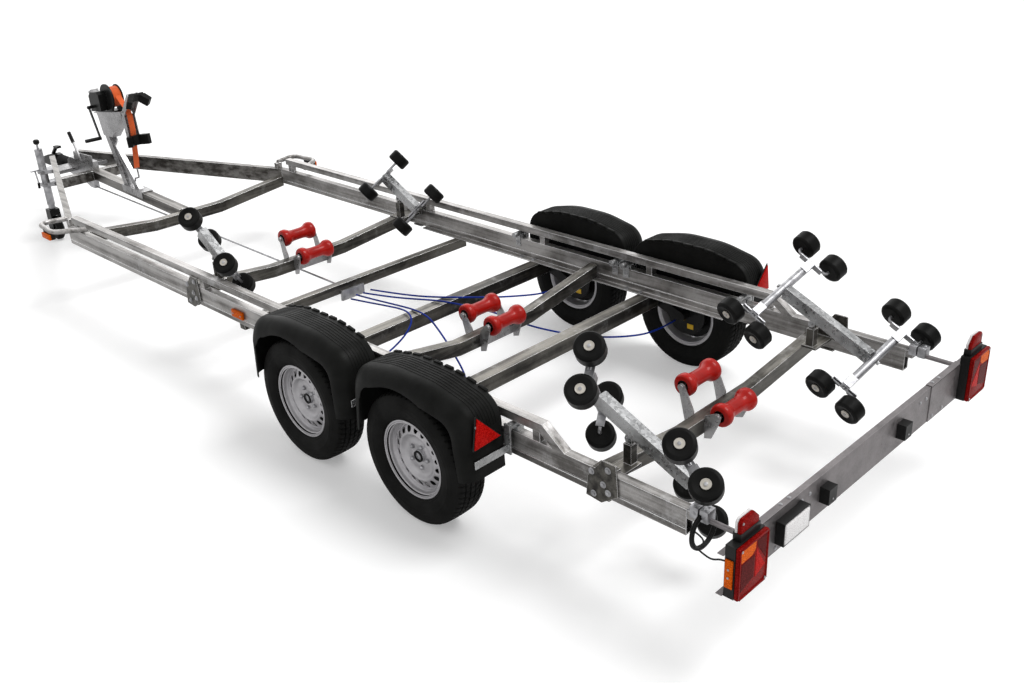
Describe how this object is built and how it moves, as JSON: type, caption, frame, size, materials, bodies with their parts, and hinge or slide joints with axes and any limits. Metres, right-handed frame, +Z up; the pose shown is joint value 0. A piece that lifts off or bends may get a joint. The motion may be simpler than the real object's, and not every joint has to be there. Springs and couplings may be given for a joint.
{
  "type": "boat trailer",
  "caption": "Galvanised tandem-axle boat trailer with keel rollers, rocking roller groups, winch post, overrun coupling, jockey wheel and light board.",
  "frame": {"origin": "on the ground, at the middle of the overall length and width", "axes": "+X forward to the coupling, +Y to the left side, +Z up"},
  "size_m": [7.98, 2.3, 1.291],
  "materials": {
    "rail_steel": "weathered galvanised steel with bright worn edges",
    "pale_steel": "fresh galvanised steel with spangle",
    "zinc_steel": "bright zinc plating",
    "tyre": "matt black rubber with road tread",
    "rim": "satin silver paint",
    "guard": "matt charcoal moulding",
    "keel_roller": "glossy red",
    "black_roller": "satin black",
    "black_metal": "black paint",
    "webbing": "orange woven webbing",
    "bellows": "matt black",
    "cable_blue": "royal blue sheath",
    "lamp_black": "black moulding",
    "lens_red": "red moulded lens",
    "cable_black": "black sheath"
  },
  "bodies": {
    "chassis": {"rail_left": "rail_steel", "rail_right": "rail_steel", "drawbar_left": "rail_steel", "drawbar_right": "rail_steel", "centre_beam": "rail_steel", "cross_front": "rail_steel", "cross_keel_front": "rail_steel", "cross_keel_mid": "rail_steel", "cross_keel_rear": "rail_steel", "cross_straight": "rail_steel", "axle_rear": "pale_steel", "axle_front": "pale_steel", "mudguards_left": "guard", "mudguards_right": "guard", "mudguard_stays": "pale_steel", "keel_brackets": "pale_steel", "winch_post": "pale_steel", "bow_chocks": "black_roller", "winch": "black_metal", "winch_strap": "webbing", "coupling_head": "black_metal", "overrun_housing": "pale_steel", "bellows": "bellows", "brake_rod": "zinc_steel", "brake_cables": "cable_blue", "jockey_outer": "zinc_steel", "light_board": "pale_steel", "lamp_housings": "lamp_black", "lamp_lenses": "lens_red", "light_cable": "cable_black", "light_cable_coil": "cable_black"},
    "wheel_rear_left": {"tyre_rear_left": "tyre", "rim_rear_left": "rim"},
    "wheel_rear_right": {"tyre_rear_right": "tyre", "rim_rear_right": "rim"},
    "wheel_front_left": {"tyre_front_left": "tyre", "rim_front_left": "rim"},
    "wheel_front_right": {"tyre_front_right": "tyre", "rim_front_right": "rim"},
    "jockey_leg": {"jockey_leg": "zinc_steel"},
    "jockey_fork": {"jockey_fork": "black_metal"},
    "jockey_wheel": {"jockey_wheel": "black_roller"},
    "keel_roller_1a": {"keel_roller_1a": "keel_roller"},
    "keel_roller_1b": {"keel_roller_1b": "keel_roller"},
    "keel_roller_2a": {"keel_roller_2a": "keel_roller"},
    "keel_roller_2b": {"keel_roller_2b": "keel_roller"},
    "keel_roller_3a": {"keel_roller_3a": "keel_roller"},
    "keel_roller_3b": {"keel_roller_3b": "keel_roller"},
    "front_rocker_left": {"front_rocker_left": "pale_steel"},
    "front_bar_a_left": {"front_bar_a_left": "black_roller"},
    "front_bar_b_left": {"front_bar_b_left": "black_roller"},
    "front_rocker_right": {"front_rocker_right": "pale_steel"},
    "front_bar_a_right": {"front_bar_a_right": "black_roller"},
    "front_bar_b_right": {"front_bar_b_right": "black_roller"},
    "rear_rocker_left": {"rear_rocker_left": "pale_steel"},
    "rear_tube_a_left": {"rear_tube_a_left": "black_roller"},
    "rear_tube_b_left": {"rear_tube_b_left": "black_roller"},
    "rear_rocker_right": {"rear_rocker_right": "pale_steel"},
    "rear_tube_a_right": {"rear_tube_a_right": "black_roller"},
    "rear_tube_b_right": {"rear_tube_b_right": "black_roller"}
  },
  "joints": [
    {"name": "wheel_rear_left_spin", "type": "hinge", "parent": "chassis", "child": "wheel_rear_left", "pos_m": [-2.32, 1.03, 0.325], "axis": [0, 1, 0], "continuous": true},
    {"name": "wheel_rear_right_spin", "type": "hinge", "parent": "chassis", "child": "wheel_rear_right", "pos_m": [-2.32, -1.03, 0.325], "axis": [0, 1, 0], "continuous": true},
    {"name": "wheel_front_left_spin", "type": "hinge", "parent": "chassis", "child": "wheel_front_left", "pos_m": [-1.465, 1.03, 0.325], "axis": [0, 1, 0], "continuous": true},
    {"name": "wheel_front_right_spin", "type": "hinge", "parent": "chassis", "child": "wheel_front_right", "pos_m": [-1.465, -1.03, 0.325], "axis": [0, 1, 0], "continuous": true},
    {"name": "jockey_leg_slide", "type": "slide", "parent": "chassis", "child": "jockey_leg", "axis": [0, 0, 1], "range_m": [-0.15, 0.03]},
    {"name": "jockey_swivel", "type": "hinge", "parent": "jockey_leg", "child": "jockey_fork", "pos_m": [3.05, 0.412, 0.262], "axis": [0, 0, 1], "continuous": true},
    {"name": "jockey_wheel_spin", "type": "hinge", "parent": "jockey_fork", "child": "jockey_wheel", "pos_m": [3.05, 0.412, 0.1], "axis": [0, 1, 0], "continuous": true},
    {"name": "keel_roller_1a_spin", "type": "hinge", "parent": "chassis", "child": "keel_roller_1a", "pos_m": [0.092, 0, 0.562], "axis": [0, 1, 0], "continuous": true},
    {"name": "keel_roller_1b_spin", "type": "hinge", "parent": "chassis", "child": "keel_roller_1b", "pos_m": [-0.089, 0, 0.478], "axis": [0, 1, 0], "continuous": true},
    {"name": "keel_roller_2a_spin", "type": "hinge", "parent": "chassis", "child": "keel_roller_2a", "pos_m": [-1.633, 0, 0.504], "axis": [0, 1, 0], "continuous": true},
    {"name": "keel_roller_2b_spin", "type": "hinge", "parent": "chassis", "child": "keel_roller_2b", "pos_m": [-1.826, 0, 0.486], "axis": [0, 1, 0], "continuous": true},
    {"name": "keel_roller_3a_spin", "type": "hinge", "parent": "chassis", "child": "keel_roller_3a", "pos_m": [-3.084, 0, 0.554], "axis": [0, 1, 0], "continuous": true},
    {"name": "keel_roller_3b_spin", "type": "hinge", "parent": "chassis", "child": "keel_roller_3b", "pos_m": [-3.283, 0, 0.467], "axis": [0, 1, 0], "continuous": true},
    {"name": "front_rocker_left_pitch", "type": "hinge", "parent": "chassis", "child": "front_rocker_left", "pos_m": [-0.115, 0.71, 0.66], "axis": [0, 1, 0], "range_deg": [0, 16]},
    {"name": "front_bar_a_left_roll", "type": "hinge", "parent": "front_rocker_left", "child": "front_bar_a_left", "pos_m": [0.00873, 0.71, 0.79997], "axis": [0.8387, 0, 0.5446], "range_deg": [-30, 8]},
    {"name": "front_bar_b_left_roll", "type": "hinge", "parent": "front_rocker_left", "child": "front_bar_b_left", "pos_m": [-0.29319, 0.71, 0.6039], "axis": [0.8387, 0, 0.5446], "range_deg": [-4, 8]},
    {"name": "front_rocker_right_pitch", "type": "hinge", "parent": "chassis", "child": "front_rocker_right", "pos_m": [-0.115, -0.71, 0.66], "axis": [0, 1, 0], "range_deg": [0, 16]},
    {"name": "front_bar_a_right_roll", "type": "hinge", "parent": "front_rocker_right", "child": "front_bar_a_right", "pos_m": [0.02046, -0.71, 0.78865], "axis": [-0.8829, 0, -0.4695], "range_deg": [-30, 8]},
    {"name": "front_bar_b_right_roll", "type": "hinge", "parent": "front_rocker_right", "child": "front_bar_b_right", "pos_m": [-0.2974, -0.71, 0.61964], "axis": [-0.8829, 0, -0.4695], "range_deg": [0, 8]},
    {"name": "rear_rocker_left_pitch", "type": "hinge", "parent": "chassis", "child": "rear_rocker_left", "pos_m": [-3.255, 0.71, 0.621], "axis": [0, 1, 0], "range_deg": [0, 16]},
    {"name": "rear_tube_a_left_roll", "type": "hinge", "parent": "rear_rocker_left", "child": "rear_tube_a_left", "pos_m": [-3.07573, 0.71, 0.75555], "axis": [0.9135, 0, 0.4067], "range_deg": [-20, 8]},
    {"name": "rear_tube_b_left_roll", "type": "hinge", "parent": "rear_rocker_left", "child": "rear_tube_b_left", "pos_m": [-3.58457, 0.71, 0.529], "axis": [0.9135, 0, 0.4067], "range_deg": [-20, 8]},
    {"name": "rear_rocker_right_pitch", "type": "hinge", "parent": "chassis", "child": "rear_rocker_right", "pos_m": [-3.255, -0.71, 0.621], "axis": [0, 1, 0], "range_deg": [0, 16]},
    {"name": "rear_tube_a_right_roll", "type": "hinge", "parent": "rear_rocker_right", "child": "rear_tube_a_right", "pos_m": [-3.07715, -0.71, 0.75742], "axis": [-0.9092, 0, -0.4163], "range_deg": [-20, 8]},
    {"name": "rear_tube_b_right_roll", "type": "hinge", "parent": "rear_rocker_right", "child": "rear_tube_b_right", "pos_m": [-3.58359, -0.71, 0.52555], "axis": [-0.9092, 0, -0.4163], "range_deg": [0, 8]}
  ]
}
